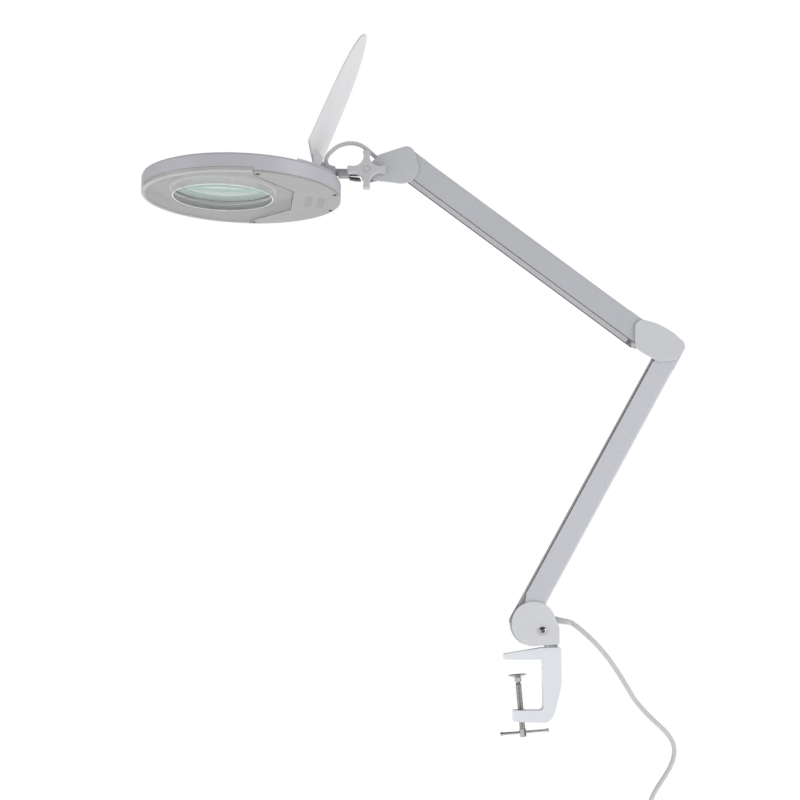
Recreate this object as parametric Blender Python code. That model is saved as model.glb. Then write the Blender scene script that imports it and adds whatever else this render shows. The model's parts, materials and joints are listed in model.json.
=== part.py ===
"""Clamp-on magnifying lamp: sprung parallel arms, a round lens head with a hinged lid, a mains cord.

Lengths are in millimetres and are turned into metres when a mesh is made. X runs from the table
edge outwards, Y away from the viewer, Z up. The origin is the clamp's seat, the underside of its
top jaw. The arms move in the XZ plane, so most outlines are drawn there as (x, z) points.
"""
import math

import bmesh
import bpy
from mathutils import Matrix, Vector

for leftover in list(bpy.data.objects):
    bpy.data.objects.remove(leftover, do_unlink=True)

MM = 0.001
GAP = 0.3            # kept between solids that touch
RUNNING = 0.1        # radial play of a pin that turns in its hole
ROUND = 24           # sides of a pin or a hole
DISC = 72            # sides of the head's wide rings

# clamp
CLAMP_HALF_WIDTH = 13.0
CLAMP_TOP = 13.6
JAW_TIP_X = -23.2
JAW_TIP_THICK = 6.2
COLUMN_INNER_X = 21.0
COLUMN_OUTER_X = 41.5
THROAT = 56.8
LOWER_ARM_TIP_X = -13.3
CLAMP_BOTTOM = -70.5
SCREW_CANT = math.radians(4.8)
SCREW_TOP = Vector((-7.4, 0.0, -20.6))
SCREW_RADIUS = 3.5
SCREW_LENGTH = 66.0
PAD_RADIUS = 10.8
BAR_LENGTH = 56.0
BAR_RADIUS = 1.6
BAR_REACH = 61.3     # from the screw's top down to the bar

# base
SPIGOT_X = 31.3
SPIGOT_RADIUS = 6.0
BASE_CENTRE = (10.4, 40.2)
BASE_COVER_RADIUS = 25.4
BASE_SCREW = (20.1, 32.3)

# arms: main pins, and the link pins beside them
CORE_HALF = 10.0
LINK_HALF = 12.2
SHELL_HALF = 15.0
COVER_INNER = 15.3
COVER_OUTER = 17.5
SHEET = 1.2
MAIN_PIN_RADIUS = 3.0
LINK_PIN_RADIUS = 2.5
CROWN = 7.0
LINK_RADIUS = 6.0
WEB_SETBACK = 24.0
LOWER_LINK_SETBACK = 18.0
UPPER_LINK_SETBACK = 10.0
LOWER_ANGLE = math.radians(60.7)
LOWER_LENGTH = 362.0
LOWER_DEPTH = 25.7
LOWER_TAPER = 30.0
UPPER_ANGLE = math.radians(180.0 - 37.25)
UPPER_LENGTH = 347.0
UPPER_DEPTH = 28.1
UPPER_TAPER = 8.0
BASE_MAIN = (4.5, 41.0)
BASE_LINK = (-9.8, 43.5)
ELBOW_UPPER_MAIN = (143.05, 381.6)
ELBOW_UPPER_LINK = (136.6, 367.7)
ELBOW_BOSS = (163.0, 378.0)
HEAD_BOSS = (-163.5, 570.0)
SPRING_RADIUS = 4.2

# head, drawn level and then tipped a degree about the tilt axis
HEAD_TIP = math.radians(1.0)
TILT = (-180.9, 568.7)
STEM_Z = 572.2
STEM_RADIUS = 4.4
EYE_RADIUS = 6.4
HEAD_X = -329.8
HEAD_BASE_Z = 537.9
HEAD_RADIUS = 118.0
HEAD_HEIGHT = 22.0
HEAD_WALL = 2.5
PLATEAU_X = -258.0
PLATEAU = 2.0
SEAM_TURN = math.radians(6.5)
SEAM = [(12.0, -117.4), (14.0, -101.0), (60.0, -41.0)]
PLATE_SCREWS = [(17.0, -108.5), (17.0, 108.5), (108.7, -35.8), (108.7, 35.8)]
LENS_OFFSET = -22.0
LENS_RADIUS = 63.5
LENS_CURVE = 347.0
LENS_EDGE = 3.0
LENS_MID = 14.0
OPENING_RADIUS = 58.0
HINGE = (-240.0, 577.0)
LID_FOOT = (-246.0, 588.2)
LID_LEAN = math.radians(21.76)
LID_LENGTH = 166.1
LID_HALF = 67.7
LID_NARROWING = 0.12  # of its half-width, from hinge to end
LID_SIDES = 4.7      # powers of its outline: how long the sides stay straight,
LID_END = 0.667      # and how round the end is
EAR_INNER, EAR_OUTER = 9.4, 13.4
LID_SHEET = 1.7
CABLE_RADIUS = 2.5
ROCKER = (-240.5, 52.0)

# cord
RELIEF_START = Vector((33.6, 0.0, 45.1))
RELIEF_AXIS = Vector((0.985, 0.0, -0.17)).normalized()
CORD_RADIUS = 2.75
COIL_CENTRE = (108.0, -206.0)
COIL_RADIUS = 30.0
COIL_HALF = 8.25
PLUG_TOP_Z = -228.2


# ---------------------------------------------------------------- materials
def material(name, colour, rough, metal=0.0, see_through=0.0):
    made = bpy.data.materials.new(name)
    made.use_nodes = True
    shader = made.node_tree.nodes["Principled BSDF"]
    shader.inputs["Base Color"].default_value = (*colour, 1.0)
    shader.inputs["Roughness"].default_value = rough
    shader.inputs["Metallic"].default_value = metal
    shader.inputs["Transmission Weight"].default_value = see_through
    return made


WHITE = material("clamp_white", (0.80, 0.82, 0.84), 0.35)
COVER = material("cover_grey", (0.60, 0.61, 0.63), 0.45)
ARM = material("arm_grey", (0.55, 0.57, 0.60), 0.35, 0.1)
LINK = material("link_grey", (0.42, 0.43, 0.45), 0.4, 0.2)
CORE = material("core_grey", (0.45, 0.46, 0.48), 0.5)
STEEL = material("bright_steel", (0.55, 0.55, 0.57), 0.2, 1.0)
DARK_CHROME = material("dark_chrome", (0.25, 0.25, 0.27), 0.15, 1.0)
BLACK = material("black_plastic", (0.02, 0.02, 0.02), 0.5)
SHELL = material("head_grey", (0.52, 0.53, 0.58), 0.4)
PLATE = material("plate_grey", (0.46, 0.47, 0.47), 0.5)
CLEAR = material("clear_plastic", (0.75, 0.76, 0.76), 0.1, 0.0, 0.9)
GLASS = material("lens_glass", (0.80, 0.92, 0.88), 0.02, 0.0, 1.0)
LID = material("lid_grey", (0.62, 0.62, 0.64), 0.45)
KNOB = material("knob_grey", (0.41, 0.41, 0.43), 0.5)
CORD = material("cord_grey", (0.50, 0.50, 0.52), 0.5)
BOARD = material("board_white", (0.85, 0.85, 0.82), 0.6)


# ---------------------------------------------------------------- outlines
def arc(centre, radius, start, end, steps):
    """Points on an arc, both ends included, with angles in degrees."""
    angles = [math.radians(start + (end - start) * i / steps) for i in range(steps + 1)]
    return [(centre[0] + radius * math.cos(a), centre[1] + radius * math.sin(a)) for a in angles]


def circle(centre, radius, steps=ROUND):
    return arc(centre, radius, 0.0, 360.0, steps)[:-1]


def hull(circles):
    """The outline of a belt round some circles, each (x, z, radius)."""
    points = sorted(p for x, z, r in circles for p in circle((x, z), r, 32))
    halves = []
    for row in (points, points[::-1]):
        half = []
        for p in row:
            while len(half) > 1 and turn(half[-2], half[-1], p) <= 1e-6:
                half.pop()
            half.append(p)
        halves += half[:-1]
    return halves


def turn(a, b, c):
    return (b[0] - a[0]) * (c[1] - a[1]) - (b[1] - a[1]) * (c[0] - a[0])


def beside(pin, angle, reach, side):
    """A point along an arm from its pin, and to the side of its web."""
    x = pin[0] + reach * math.cos(angle) + side * math.sin(angle)
    z = pin[1] + reach * math.sin(angle) - side * math.cos(angle)
    return (x, z)


def shifted(pin, angle, points):
    return [beside(pin, angle, reach, side) for reach, side in points]


# ---------------------------------------------------------------- solids
def solid(name, points, faces, look):
    mesh = bpy.data.meshes.new(name)
    mesh.from_pydata([Vector(p) * MM for p in points], [], faces)
    shape = bmesh.new()
    shape.from_mesh(mesh)
    bmesh.ops.recalc_face_normals(shape, faces=shape.faces)
    shape.to_mesh(mesh)
    shape.free()
    made = bpy.data.objects.new(name, mesh)
    bpy.context.scene.collection.objects.link(made)
    mesh.materials.append(look)
    return made


def slab(name, outline, holes, low, high, look, upright=True):
    """A flat plate: drawn in XZ and extruded along Y, or drawn in XY and extruded along Z."""
    shape = bmesh.new()
    loops = []
    for loop in [outline, *holes]:
        corners = [shape.verts.new((a, b, 0.0)) for a, b in loop]
        for first, second in zip(corners, corners[1:] + corners[:1]):
            shape.edges.new((first, second))
        loops.append(len(corners))
    bmesh.ops.triangle_fill(shape, use_beauty=True, use_dissolve=False, edges=shape.edges[:])
    shape.verts.index_update()
    flat = [(v.co.x, v.co.y) for v in shape.verts]
    fill = [[v.index for v in f.verts] for f in shape.faces]
    shape.free()
    count = len(flat)
    lift = (lambda a, b, h: (a, h, b)) if upright else (lambda a, b, h: (a, b, h))
    points = [lift(a, b, h) for h in (low, high) for a, b in flat]
    faces = fill + [[i + count for i in f] for f in fill]
    start = 0
    for size in loops:
        for i in range(size):
            a, b = start + i, start + (i + 1) % size
            faces.append([a, b, b + count, a + count])
        start += size
    return solid(name, points, faces, look)


def turned(name, profile, base, direction, look, steps=ROUND):
    """A closed profile of (radius, height) points turned about an axis through base."""
    turn_to = Vector((0, 0, 1)).rotation_difference(Vector(direction)).to_matrix()
    points, rings = [], []
    for radius, height in profile:
        if radius == 0:
            rings.append([len(points)] * steps)
            points.append(turn_to @ Vector((0, 0, height)) + Vector(base))
            continue
        rings.append(list(range(len(points), len(points) + steps)))
        for i in range(steps):
            a = 2 * math.pi * i / steps
            at = Vector((radius * math.cos(a), radius * math.sin(a), height))
            points.append(turn_to @ at + Vector(base))
    faces = []
    for lower, upper in zip(rings, rings[1:] + rings[:1]):
        for i in range(steps):
            j = (i + 1) % steps
            corners = list(dict.fromkeys([lower[i], lower[j], upper[j], upper[i]]))
            if len(corners) > 2:
                faces.append(corners)
    return solid(name, points, faces, look)


def rod(name, start, direction, radius, length, look, steps=ROUND):
    profile = [(0, 0), (radius, 0), (radius, length), (0, length)]
    return turned(name, profile, start, direction, look, steps)


def ring(name, inner, outer, low, high, base, direction, look, steps=ROUND):
    profile = [(inner, low), (outer, low), (outer, high), (inner, high)]
    return turned(name, profile, base, direction, look, steps)


def block(name, low, high, look):
    (x0, y0, z0), (x1, y1, z1) = low, high
    return slab(name, [(x0, z0), (x1, z0), (x1, z1), (x0, z1)], [], y0, y1, look)


def combine(made, tool, operation):
    """Apply one Boolean to a solid and drop the tool."""
    step = made.modifiers.new("step", "BOOLEAN")
    step.object = tool
    step.operation = operation
    step.solver = "EXACT"
    bpy.context.view_layer.update()
    ready = made.evaluated_get(bpy.context.evaluated_depsgraph_get())
    result = bpy.data.meshes.new_from_object(ready)
    made.modifiers.clear()
    result.name = made.name
    made.data = result
    bpy.data.objects.remove(tool, do_unlink=True)
    return made


def cut(made, tool):
    return combine(made, tool, "DIFFERENCE")


def join(made, tool):
    return combine(made, tool, "UNION")


def seat(made, pivot, parent=None):
    """Put a finished solid's origin on its pivot, and hang it from its parent."""
    pivot = Vector(pivot) * MM
    made.data.transform(Matrix.Translation(-pivot))
    made.location = pivot
    if parent:
        made.parent = parent
        made.location = pivot - parent.location
    for face in made.data.polygons:
        face.use_smooth = True
    made.data.set_sharp_from_angle(angle=math.radians(35))
    return made


def axis_point(point):
    return (point[0], 0.0, point[1])


def pivot_empty(name, point, tip=0.0):
    made = bpy.data.objects.new(name, None)
    made.location = Vector(axis_point(point)) * MM
    made.rotation_euler = (0.0, tip, 0.0)
    bpy.context.scene.collection.objects.link(made)
    return made


# ---------------------------------------------------------------- clamp
def clamp_frame():
    outline = [(JAW_TIP_X, 0.0), (JAW_TIP_X, JAW_TIP_THICK), (19.0, CLAMP_TOP - 0.4)]
    outline += [(23.0, CLAMP_TOP), *arc((COLUMN_OUTER_X - 2, CLAMP_TOP - 2), 2.0, 90, 0, 4)]
    outline += [(COLUMN_OUTER_X, -26.0), (38.2, -41.8), (34.4, -56.0)]
    outline += arc((20.5, CLAMP_BOTTOM + 12.0), 12.0, -20, -90, 5)
    outline += [(LOWER_ARM_TIP_X, CLAMP_BOTTOM + 1.2), (LOWER_ARM_TIP_X, -THROAT)]
    outline += arc((COLUMN_INNER_X - 4.5, -THROAT + 4.5), 4.5, -90, 0, 5)
    outline += arc((COLUMN_INNER_X - 4.5, -4.5), 4.5, 0, 90, 5)
    made = slab("clamp_frame", outline, [], -CLAMP_HALF_WIDTH, CLAMP_HALF_WIDTH, WHITE)
    cut(made, rod("bore", (SPIGOT_X, 0, -40), (0, 0, 1), SPIGOT_RADIUS + RUNNING, 60, WHITE))
    cut(made, rod("insert_hole", screw_point(30), screw_down(), 6.3, 35, WHITE))
    return seat(made, (0, 0, 0))


def screw_down():
    return Vector((math.sin(SCREW_CANT), 0, -math.cos(SCREW_CANT)))


def screw_point(depth):
    """A point on the canted screw's axis, counted down from the top of its neck."""
    return SCREW_TOP + screw_down() * depth


def thread_insert():
    made = ring("thread_insert", SCREW_RADIUS + RUNNING, 6.0, 0, 11.6, screw_point(37.3),
                screw_down(), STEEL)
    return seat(made, screw_point(37.3))


def pressure_pad():
    """A dished swivel pad with a socket under it for the screw's ball end."""
    profile = [(0, -1.4), (4.0, -1.4), (PAD_RADIUS - 0.4, -3.7), (PAD_RADIUS, -3.4)]
    profile += [(PAD_RADIUS, -2.9), (4.5, -0.2), (3.9, 1.2), (3.9, 4.8), (3.3, 4.8), (3.3, 0.4), (0, 0.4)]
    made = turned("pressure_pad", profile, SCREW_TOP, screw_down(), DARK_CHROME, 40)
    return seat(made, SCREW_TOP)


def clamp_screw():
    """The threaded rod, from its ball end in the pad down to the drilled head."""
    r = SCREW_RADIUS
    end = SCREW_LENGTH + 0.6
    profile = [(0, 0.7), (2.4, 0.9), (3.0, 2.4), (3.0, 4.0), (2.2, 5.6), (r, 7.2), (r, 57.0)]
    profile += [(3.8, 57.6), (3.8, end - 0.8), (3.0, end), (0, end)]
    made = turned("clamp_screw", profile, SCREW_TOP, screw_down(), DARK_CHROME)
    along = Vector((math.cos(SCREW_CANT), 0, math.sin(SCREW_CANT)))
    cut(made, rod("drill", screw_point(BAR_REACH) - along * 9, along, BAR_RADIUS + RUNNING, 18,
                  DARK_CHROME))
    return seat(made, SCREW_TOP)


def tommy_bar():
    along = Vector((math.cos(SCREW_CANT), 0, math.sin(SCREW_CANT)))
    half, r, knob = BAR_LENGTH / 2, BAR_RADIUS, BAR_RADIUS + 0.7
    profile = [(0, -half), (r, -half + 0.4), (knob, -half + 1.4), (r, -half + 4.0)]
    profile += [(r, half - 4.0), (knob, half - 1.4), (r, half - 0.4), (0, half)]
    middle = screw_point(BAR_REACH) + along * 2.0
    return seat(turned("tommy_bar", profile, middle, along, DARK_CHROME, 24), middle)


# ---------------------------------------------------------------- base
def spigot():
    profile = [(0, -38), (5.2, -38), (SPIGOT_RADIUS, -37), (SPIGOT_RADIUS, 30), (0, 30)]
    return seat(turned("spigot", profile, (SPIGOT_X, 0, 0), (0, 0, 1), STEEL), (SPIGOT_X, 0, 0))


def swivel_washer():
    made = ring("swivel_washer", SPIGOT_RADIUS + GAP, 8.0, CLAMP_TOP + GAP, 15.6,
                (SPIGOT_X, 0, 0), (0, 0, 1), STEEL)
    return seat(made, (SPIGOT_X, 0, 0))


def core(name, outline, pins, bosses, look=CORE):
    """A cast block between two cover plates, with cross holes for its fixed pins."""
    holes = [circle(p, r + GAP) for p, r in pins]
    made = slab(name, outline, holes, -CORE_HALF, CORE_HALF, look)
    for x, z in bosses:
        join(made, rod("boss", (x, -SHELL_HALF, z), (0, 1, 0), 4.5, 2 * SHELL_HALF, look))
    return made


def base_core():
    outline = hull([(*BASE_MAIN, 9.0), (*BASE_LINK, 5.0), (37.0, 18.2, 2.0), (36.0, 46.5, 2.0),
                    (8.0, 20.0, 3.0)])
    made = core("base_core", outline, [(BASE_MAIN, MAIN_PIN_RADIUS), (BASE_LINK, LINK_PIN_RADIUS)],
                [BASE_SCREW])
    cut(made, rod("socket", (SPIGOT_X, 0, 5), (0, 0, 1), SPIGOT_RADIUS + GAP, 25.3, CORE))
    cut(made, rod("screw_hole", (BASE_SCREW[0], -20, BASE_SCREW[1]), (0, 1, 0), 2.3, 14, CORE))
    cut(made, rod("cord_hole", RELIEF_START - RELIEF_AXIS * GAP, RELIEF_AXIS, 4.0, 20, CORE))
    return seat(made, (SPIGOT_X, 0, 0))


def cover(name, outline, side, look=COVER, hole=None):
    holes = [circle(hole, 2.4)] if hole else []
    low, high = (-COVER_OUTER, -COVER_INNER) if side < 0 else (COVER_INNER, COVER_OUTER)
    return slab(name, outline, holes, low, high, look)


def base_outline():
    return hull([(*BASE_CENTRE, BASE_COVER_RADIUS), (37.3, 19.4, 2.0), (37.3, 36.0, 2.0)])


def base_cover_screw():
    profile = [(0, -2.6), (2.6, -2.6), (4.4, -1.4), (4.5, 0), (2.0, 0), (2.0, 10.0), (0, 10.0)]
    at = (BASE_SCREW[0], -COVER_OUTER - GAP, BASE_SCREW[1])
    return seat(turned("base_cover_screw", profile, at, (0, 1, 0), STEEL), at)


def cross_pin(name, point, radius, half):
    made = rod(name, (point[0], -half, point[1]), (0, 1, 0), radius, 2 * half, STEEL)
    return seat(made, axis_point(point))


# ---------------------------------------------------------------- arms
def channel(name, pin, angle, length, outline, hole, half, web_side, setback, look):
    """A folded channel: two side walls with pin holes, and a web along one edge."""
    holes = [circle(beside(pin, angle, reach, 0), hole) for reach in (0, length)]
    made = slab(name, shifted(pin, angle, outline), holes, -half, half, look)
    inner = web_side - math.copysign(SHEET, web_side)
    far = math.copysign(60, web_side)
    space = [(-40, -far), (-40, far), (setback, far), (setback, inner)]
    space += [(length - setback, inner), (length - setback, far), (length + 40, far)]
    space += [(length + 40, -far)]
    tool = slab("space", shifted(pin, angle, space), [], SHEET - half, half - SHEET, look)
    return seat(cut(made, tool), axis_point(pin))


def arm_shell(name, pin, angle, length, depth, taper):
    """The deep channel that carries the load, with its web on the crown of the arm."""
    low = CROWN - depth
    outline = arc((length, 0), CROWN, 90, -60, 8) + [(length - taper, low), (taper, low)]
    outline += arc((0, 0), CROWN, -120, -270, 8)
    return channel(name, pin, angle, length, outline, MAIN_PIN_RADIUS + RUNNING, SHELL_HALF,
                   CROWN, WEB_SETBACK, ARM)


def arm_link(name, pin, angle, length, setback):
    """The shallow channel inside the shell, that keeps the next bracket level."""
    outline = arc((length, 0), LINK_RADIUS, 90, -90, 10) + arc((0, 0), LINK_RADIUS, -90, -270, 10)
    return channel(name, pin, angle, length, outline, LINK_PIN_RADIUS + RUNNING, LINK_HALF,
                   -LINK_RADIUS, setback, LINK)


def spring(name, pin, angle, start, end, side, y):
    """The outer shape of a tension spring with its two end hooks."""
    x, z = beside(pin, angle, start, side)
    length, r = end - start, SPRING_RADIUS
    profile = [(0, 0), (1.1, 0), (1.1, 7), (r, 9), (r, length - 9), (1.1, length - 7)]
    profile += [(1.1, length), (0, length)]
    along = (math.cos(angle), 0, math.sin(angle))
    return seat(turned(name, profile, (x, y, z), along, STEEL, 16), (x, y, z))


def spring_anchor(name, pin, angle, reach, side):
    x, z = beside(pin, angle, reach, side)
    half = SHELL_HALF - SHEET - GAP
    return seat(rod(name, (x, -half, z), (0, 1, 0), 2.0, 2 * half, STEEL, 20), (x, 0, z))


def arm_pins(pin, link, angle, length):
    return beside(pin, angle, length, 0), beside(link, angle, length, 0)


# ---------------------------------------------------------------- brackets
# the covers' corner circles, each (x, z, radius); the back ones leave the linkage's underside open
ELBOW_CROWN = [(141.3, 381.8, 9.3), (155.5, 377.4, 9.3), (163.4, 373.2, 9.3), (171.6, 367.9, 9.3),
               (180.6, 359.5, 9.3)]
ELBOW_FRONT = ELBOW_CROWN + [(175.0, 351.5, 8.5), (162.0, 352.0, 11.0), (144.5, 364.0, 12.5)]
ELBOW_BACK = ELBOW_CROWN + [(174.0, 357.5, 7.0), (150.0, 372.0, 10.0)]
BRACKET_CROWN = [(-134.0, 589.5, 10.3), (-163.0, 583.5, 6.8), (-172.4, 579.8, 2.5)]
BRACKET_FRONT = BRACKET_CROWN + [(-172.4, 561.5, 2.8), (-140.0, 574.5, 20.3)]
BRACKET_BACK = BRACKET_CROWN + [(-170.0, 572.0, 2.8), (-140.0, 582.0, 12.5)]


def elbow_core(lower_main, lower_link):
    pins = [(lower_main, MAIN_PIN_RADIUS), (lower_link, LINK_PIN_RADIUS)]
    pins += [(ELBOW_UPPER_MAIN, MAIN_PIN_RADIUS), (ELBOW_UPPER_LINK, LINK_PIN_RADIUS)]
    outline = hull([(*p, 6.0) for p, r in pins] + [(*ELBOW_BOSS, 4.5)])
    return seat(core("elbow_core", outline, pins, [ELBOW_BOSS]), axis_point(lower_main))


def head_core(main, link):
    """The level bracket, slotted at its nose for the stem's eye."""
    pins = [(main, MAIN_PIN_RADIUS), (link, LINK_PIN_RADIUS), (TILT, 3.0)]
    outline = hull([(*main, 6.0), (*link, 6.5), (*TILT, EYE_RADIUS), (-163.0, 577.5, 6.0)])
    made = core("head_core", outline, pins, [HEAD_BOSS])
    cut(made, slab("slot", [(-200, 540), (-169.5, 540), (-169.5, 600), (-200, 600)], [],
                   -6.1, 6.1, CORE))
    return seat(made, axis_point(TILT))


def star_outline():
    """Four square lobes with hollow flanks between them."""
    points = []
    for quarter in range(4):
        tip = [(20.0, -4.0), *arc((21.0, -2.5), 1.5, -90, 0, 3)]
        tip += [*arc((21.0, 2.5), 1.5, 0, 90, 3), (20.0, 4.0)]
        flank = arc((16.0, 16.0), math.hypot(4, 12), -71.57, -198.43, 10)[1:-1]
        a = quarter * math.pi / 2
        for x, z in tip + flank:
            points.append((TILT[0] + x * math.cos(a) - z * math.sin(a),
                           TILT[1] + x * math.sin(a) + z * math.cos(a)))
    return points


def star_knob():
    made = slab("star_knob", star_outline(), [], -30.0, -18.4, KNOB)
    join(made, rod("hub", (TILT[0], -19.0, TILT[1]), (0, 1, 0), 5.3, 8.6, KNOB))
    cut(made, ring("face_ring", 3.4, 4.2, -1.0, 0.8, (TILT[0], -30.0, TILT[1]), (0, 1, 0), KNOB))
    cut(made, rod("blind", (TILT[0], -24.0, TILT[1]), (0, 1, 0), 3.0 + RUNNING, 20, KNOB))
    return seat(made, axis_point(TILT))


def tilt_bolt():
    """The clamping bolt, with its head behind the bracket."""
    at = (TILT[0], 0, TILT[1])
    made = rod("tilt_bolt", (TILT[0], -23.0, TILT[1]), (0, 1, 0), 3.0, 37.0, STEEL)
    head = [(0, 10.3), (6.0, 10.3), (6.0, 14.2), (5.2, 15.0), (0, 15.0)]
    return seat(join(made, turned("bolt_head", head, at, (0, 1, 0), STEEL, 6)), at)


def friction_disc(name, low):
    made = ring(name, 3.0 + GAP, EYE_RADIUS, low, low + 1.1, axis_point(TILT), (0, 1, 0), BLACK)
    return seat(made, axis_point(TILT))


# ---------------------------------------------------------------- head
def stem_bar(parent):
    """A round bar on the roll axis, ending in a flat eye on the tilt axis."""
    made = rod("stem_bar", (-238, 0, STEM_Z), (1, 0, 0), STEM_RADIUS, 53, LINK)
    eye = slab("eye", circle(TILT, EYE_RADIUS), [], -4.0, 4.0, LINK)
    join(made, eye)
    cut(made, rod("bolt_hole", (TILT[0], -9, TILT[1]), (0, 1, 0), 3.0 + RUNNING, 18, LINK))
    return seat(made, axis_point(TILT), parent)


def stem_sleeve(parent):
    """The pale saddle under the bar, between the head's rim and the eye."""
    outline = [(-215.1, 566.2), (-202.6, 566.2), (-201.5, 567.2), (-201.5, 571.2), (-215.1, 571.2)]
    made = slab("stem_sleeve", outline, [], -5.8, 5.8, COVER)
    cut(made, rod("groove", (-217, 0, STEM_Z), (1, 0, 0), STEM_RADIUS + GAP, 20, COVER))
    return seat(made, axis_point(TILT), parent)


def head_z(height):
    return HEAD_BASE_Z + height


def lens_centre():
    """The lens centre in plan, on the line that the seam is square to."""
    return (HEAD_X + LENS_OFFSET * math.cos(SEAM_TURN), LENS_OFFSET * math.sin(SEAM_TURN))


def plan(point):
    """A point of the head's underside, turned with its seam into the lamp's plan."""
    x, y = point
    c, s = math.cos(SEAM_TURN), math.sin(SEAM_TURN)
    return (HEAD_X + x * c - y * s, x * s + y * c)


def seam_line(clearance):
    half = [(x - clearance, y) for x, y in SEAM]
    return [plan(p) for p in half + [(x, -y) for x, y in reversed(half)]]


def side_region(right, clearance):
    """The part of the plan on one side of the seam, well past the rim."""
    edge = 150 if right else -150
    first = [plan((edge, -140)), plan((SEAM[0][0] - clearance, -140))]
    return first + seam_line(clearance) + [plan((SEAM[0][0] - clearance, 140)), plan((edge, 140))]


def head_shell(parent):
    """The shallow pan with the lens opening, a raised back half and the neck that holds the stem."""
    r, h, t = HEAD_RADIUS, HEAD_HEIGHT, HEAD_WALL
    at = (HEAD_X, 0, HEAD_BASE_Z)
    profile = [(0, h), (0, h - t), (r - t, h - t), (r - t, 2.5), (r, 2.5), (r, h - 3.0)]
    profile += [(r - 0.9, h - 0.9), (r - 3.0, h)]
    made = turned("head_shell", profile, at, (0, 0, 1), SHELL, DISC)
    rim = rod("raised", (HEAD_X, 0, head_z(h - 1)), (0, 0, 1), r - 2.6, PLATEAU + 1, SHELL, DISC)
    west = block("west", (HEAD_X - 130, -130, 500), (PLATEAU_X, 130, 600), SHELL)
    join(made, cut(rim, west))
    foot = head_z(h - 1)
    hinge_block = [(-246, foot), (-235.6, foot), (-235.6, 579.9), (-244, 579.9), (-246, 578.4)]
    join(made, slab("hinge_block", hinge_block, [], -9.0, 9.0, SHELL))
    neck = [(-236, foot), (-218.6, foot), (-218.6, 577.2), (-224, 578.8), (-236, 579.4)]
    join(made, slab("neck", neck, [], -7.5, 7.5, SHELL))
    cut(made, rod("roll_bore", (-238.4, 0, STEM_Z), (1, 0, 0), STEM_RADIUS + RUNNING, 40, SHELL))
    cut(made, rod("gland_hole", (-230.5, 0, 577.6), (0, 0, 1), 3.9, 9, SHELL))
    cut(made, rod("hinge_bore", (HINGE[0], -20, HINGE[1]), (0, 1, 0), 1.5 + GAP, 40, SHELL))
    x, y = lens_centre()
    cut(made, rod("lens_hole", (x, y, 500), (0, 0, 1), LENS_RADIUS - 3.5, 100, SHELL, DISC))
    low, high = (ROCKER[0] - 5.4, ROCKER[1] - 8.0), (ROCKER[0] + 5.4, ROCKER[1] + 8.0)
    cut(made, block("rocker_hole", (*low, 540), (*high, 600), SHELL))
    cut(made, slab("step", side_region(False, 0.0), [], 0.0, head_z(5.3), SHELL, False))
    return seat(made, axis_point((HEAD_X, HEAD_BASE_Z)), parent)


def bottom_plate(parent):
    """The opaque part of the underside, right of the seam, with four screw holes."""
    disc = circle((HEAD_X, 0), HEAD_RADIUS, DISC)
    holes = [circle(plan(p), 1.6, 12) for p in PLATE_SCREWS]
    made = slab("bottom_plate", disc, holes, head_z(0), head_z(2.2), PLATE, False)
    cut(made, slab("left", side_region(False, -GAP), [], 0.0, 900.0, PLATE, False))
    return seat(made, axis_point((HEAD_X, HEAD_BASE_Z)), parent)


def clear_cover(parent):
    """The see-through part of the underside, with its upturned rim on the left."""
    r, h = HEAD_RADIUS, 5.0
    at = (HEAD_X, 0, HEAD_BASE_Z)
    profile = [(0, 0), (r - 1.2, 0), (r, 1.2), (r, h), (r - 2, h), (r - 2, 2), (0, 2)]
    made = turned("clear_cover", profile, at, (0, 0, 1), CLEAR, DISC)
    cut(made, slab("right", side_region(True, GAP), [], 0.0, 900.0, CLEAR, False))
    x, y = lens_centre()
    cut(made, rod("collar_hole", (x, y, 500), (0, 0, 1), OPENING_RADIUS + 2.8, 100, CLEAR, DISC))
    return seat(made, axis_point((HEAD_X, HEAD_BASE_Z)), parent)


def lens_collar(parent):
    x, y = lens_centre()
    made = ring("lens_collar", OPENING_RADIUS, OPENING_RADIUS + 2.5, 0.0, 10.6,
                (x, y, HEAD_BASE_Z), (0, 0, 1), CLEAR, 48)
    return seat(made, (x, y, HEAD_BASE_Z), parent)


def lens(parent):
    """A biconvex lens, both faces on one radius of curvature."""
    x, y = lens_centre()
    rise = LENS_RADIUS ** 2 / (2 * LENS_CURVE)
    steps = 6
    radii = [LENS_RADIUS * i / steps for i in range(steps + 1)]
    top = [(r, LENS_MID + LENS_EDGE / 2 + rise - r * r / (2 * LENS_CURVE)) for r in radii]
    bottom = [(r, 2 * LENS_MID - h) for r, h in top]
    made = turned("magnifier_lens", bottom + top[::-1], (x, y, HEAD_BASE_Z), (0, 0, 1), GLASS, 48)
    return seat(made, (x, y, HEAD_BASE_Z), parent)


def led_board(parent):
    """A ring-shaped lamp board with square light chips on its underside."""
    x, y = lens_centre()
    made = ring("led_board", LENS_RADIUS + 2.5, LENS_RADIUS + 24.0, 12.0, 13.6,
                (x, y, HEAD_BASE_Z), (0, 0, 1), BOARD, 48)
    count = 12
    for i in range(count):
        a = 2 * math.pi * i / count
        cx, cy = x + 76 * math.cos(a), y + 76 * math.sin(a)
        chip = block("chip", (cx - 2.5, cy - 2.5, head_z(10.9)), (cx + 2.5, cy + 2.5, head_z(12.5)),
                     BOARD)
        join(made, chip)
    return seat(made, (x, y, HEAD_BASE_Z), parent)


def plate_screw(number, point, parent):
    x, y = plan(point)
    profile = [(0, -0.9), (1.6, -0.9), (2.6, -GAP), (1.2, -GAP), (1.2, 2.3), (0, 2.3)]
    made = turned(f"plate_screw_{number}", profile, (x, y, HEAD_BASE_Z), (0, 0, 1), BLACK, 16)
    return seat(made, (x, y, HEAD_BASE_Z), parent)


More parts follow.
